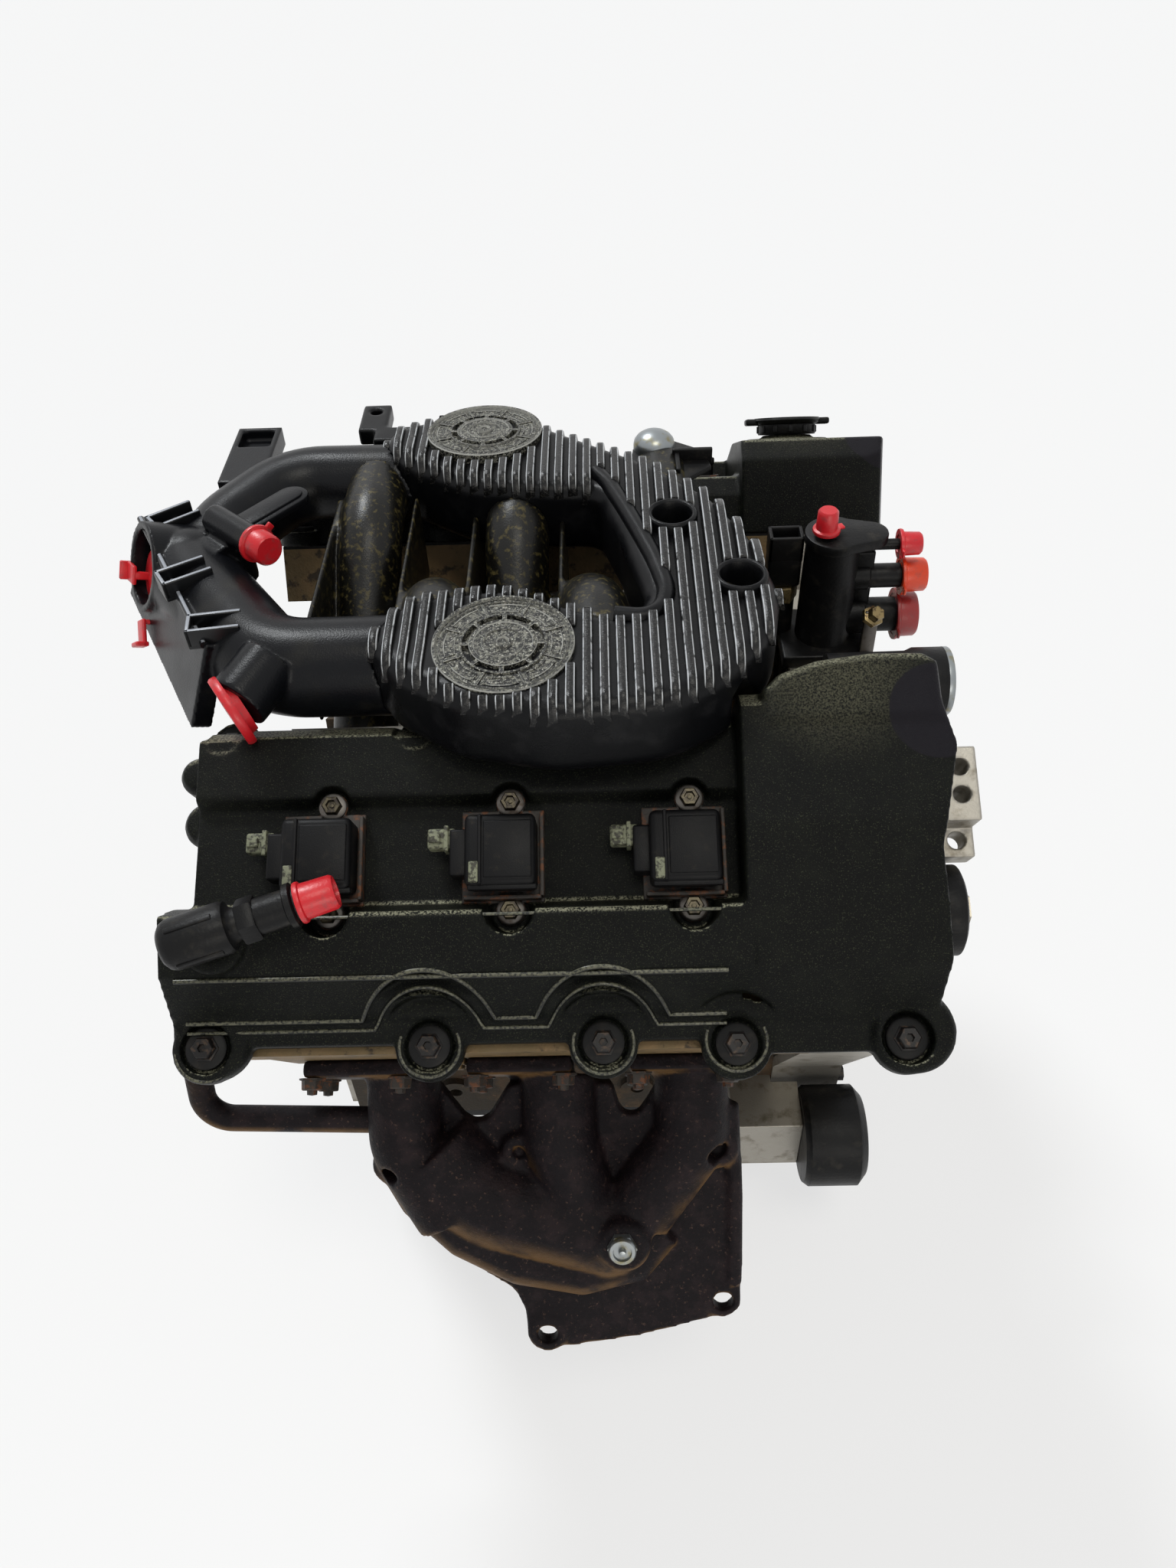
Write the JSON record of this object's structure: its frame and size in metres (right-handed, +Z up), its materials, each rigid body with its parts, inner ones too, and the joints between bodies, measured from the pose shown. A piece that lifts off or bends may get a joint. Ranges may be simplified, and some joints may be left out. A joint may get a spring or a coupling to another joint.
{
  "type": "engine",
  "caption": "V-type piston engine with overhead camshafts, chain drive, ribbed intake plenum over crossing runners, coil-on-plug ignition and cast exhaust manifolds",
  "frame": {"origin": "on the crankshaft's axis in the plane of the block's rear face, inside the pilot bore", "axes": "X along the crankshaft towards the timing end, Y towards the far bank, Z up between the banks"},
  "size_m": [0.5281, 0.6486, 0.5623],
  "materials": {
    "block_iron": "cast grey iron, dusty and lightly rusted",
    "head_aluminium": "cast aluminium under golden brown oil film",
    "cover_coat": "black crackle coat with a fine sparkle",
    "black_plastic": "glossy black moulding with a fine grain",
    "runner_plastic": "black moulding with a golden film",
    "coil_plastic": "black moulding",
    "manifold_iron": "dark brown cast iron with rust at its lower edges",
    "steel": "plain steel, a little tarnished",
    "dark_steel": "oiled forged steel",
    "black_metal": "black painted steel",
    "light_aluminium": "plain cast aluminium",
    "red_plastic": "bright red soft moulding",
    "gasket": "black rubber",
    "ceramic": "white glaze with a steel shell"
  },
  "bodies": {
    "engine": {"cylinder_block": "block_iron", "main_bearing_caps": "block_iron", "rear_seal_retainer": "light_aluminium", "core_plugs": "steel", "timing_cover_bolts": "dark_steel", "oil_pan": "black_metal", "oil_pan_bolts": "steel", "drain_plug": "steel", "oil_filter_adapter": "light_aluminium", "oil_filter": "black_metal", "timing_cover": "light_aluminium", "timing_chain": "dark_steel", "camshaft_link_chains": "dark_steel", "near_cylinder_head": "head_aluminium", "far_cylinder_head": "head_aluminium", "cam_bearing_caps": "light_aluminium", "spark_plug_tubes": "steel", "spark_plugs": "ceramic", "near_valve_cover": "cover_coat", "far_valve_cover": "cover_coat", "valve_cover_gaskets": "gasket", "valve_cover_bolts": "dark_steel", "coil_bolts": "steel", "intake_plenum": "black_plastic", "intake_runners": "runner_plastic", "throttle_duct": "black_plastic", "lower_intake_manifold": "head_aluminium", "near_exhaust_manifold": "manifold_iron", "far_exhaust_manifold": "manifold_iron", "oxygen_sensors": "steel", "exhaust_gas_tube": "dark_steel", "coolant_outlet": "black_plastic", "shipping_caps": "red_plastic", "coolant_inlet_neck": "light_aluminium", "accessory_bracket": "light_aluminium", "idler_bolt": "steel", "breather_valve": "coil_plastic", "ignition_coil_1": "coil_plastic", "ignition_coil_2": "coil_plastic", "ignition_coil_3": "coil_plastic", "ignition_coil_4": "coil_plastic", "ignition_coil_5": "coil_plastic", "ignition_coil_6": "coil_plastic"},
    "crank": {"crankshaft": "dark_steel", "crank_sprocket": "dark_steel", "crank_pulley": "black_metal", "crank_pulley_bolt": "steel"},
    "near_intake_cam": {"near_intake_camshaft": "dark_steel", "near_intake_sprocket": "dark_steel"},
    "near_exhaust_cam": {"near_exhaust_camshaft": "dark_steel", "near_exhaust_sprocket": "dark_steel"},
    "far_intake_cam": {"far_intake_camshaft": "dark_steel", "far_intake_sprocket": "dark_steel"},
    "far_exhaust_cam": {"far_exhaust_camshaft": "dark_steel", "far_exhaust_sprocket": "dark_steel"},
    "pump_drive": {"pump_sprocket": "dark_steel"},
    "idler": {"idler_pulley": "coil_plastic"},
    "filler_cap": {"oil_filler_cap": "coil_plastic"}
  },
  "joints": [
    {"name": "crank_turn", "type": "hinge", "parent": "engine", "child": "crank", "pos_m": [0, 0, 0], "axis": [1, 0, 0], "continuous": true},
    {"name": "near_intake_cam_turn", "type": "hinge", "parent": "engine", "child": "near_intake_cam", "pos_m": [0.1, -0.13929, 0.30525], "axis": [1, 0, 0], "continuous": true},
    {"name": "near_exhaust_cam_turn", "type": "hinge", "parent": "engine", "child": "near_exhaust_cam", "pos_m": [0.1, -0.19471, 0.27325], "axis": [1, 0, 0], "continuous": true},
    {"name": "far_intake_cam_turn", "type": "hinge", "parent": "engine", "child": "far_intake_cam", "pos_m": [0.1, 0.13929, 0.30525], "axis": [1, 0, 0], "continuous": true},
    {"name": "far_exhaust_cam_turn", "type": "hinge", "parent": "engine", "child": "far_exhaust_cam", "pos_m": [0.1, 0.19471, 0.27325], "axis": [1, 0, 0], "continuous": true},
    {"name": "pump_turn", "type": "hinge", "parent": "engine", "child": "pump_drive", "pos_m": [0.336, 0, 0.212], "axis": [1, 0, 0], "continuous": true},
    {"name": "idler_turn", "type": "hinge", "parent": "engine", "child": "idler", "pos_m": [0.39, -0.175, 0.254], "axis": [1, 0, 0], "continuous": true},
    {"name": "filler_cap_turn", "type": "hinge", "parent": "engine", "child": "filler_cap", "pos_m": [0.342, 0.201, 0.34814], "axis": [0, 0.5, 0.866], "range_deg": [0, 90]}
  ],
  "couplings": [
    {"joint": "near_intake_cam_turn", "follows": "crank_turn", "ratio": 0.5},
    {"joint": "near_exhaust_cam_turn", "follows": "crank_turn", "ratio": 0.5},
    {"joint": "far_intake_cam_turn", "follows": "crank_turn", "ratio": 0.5},
    {"joint": "far_exhaust_cam_turn", "follows": "crank_turn", "ratio": 0.5},
    {"joint": "pump_turn", "follows": "crank_turn", "ratio": -1}
  ]
}
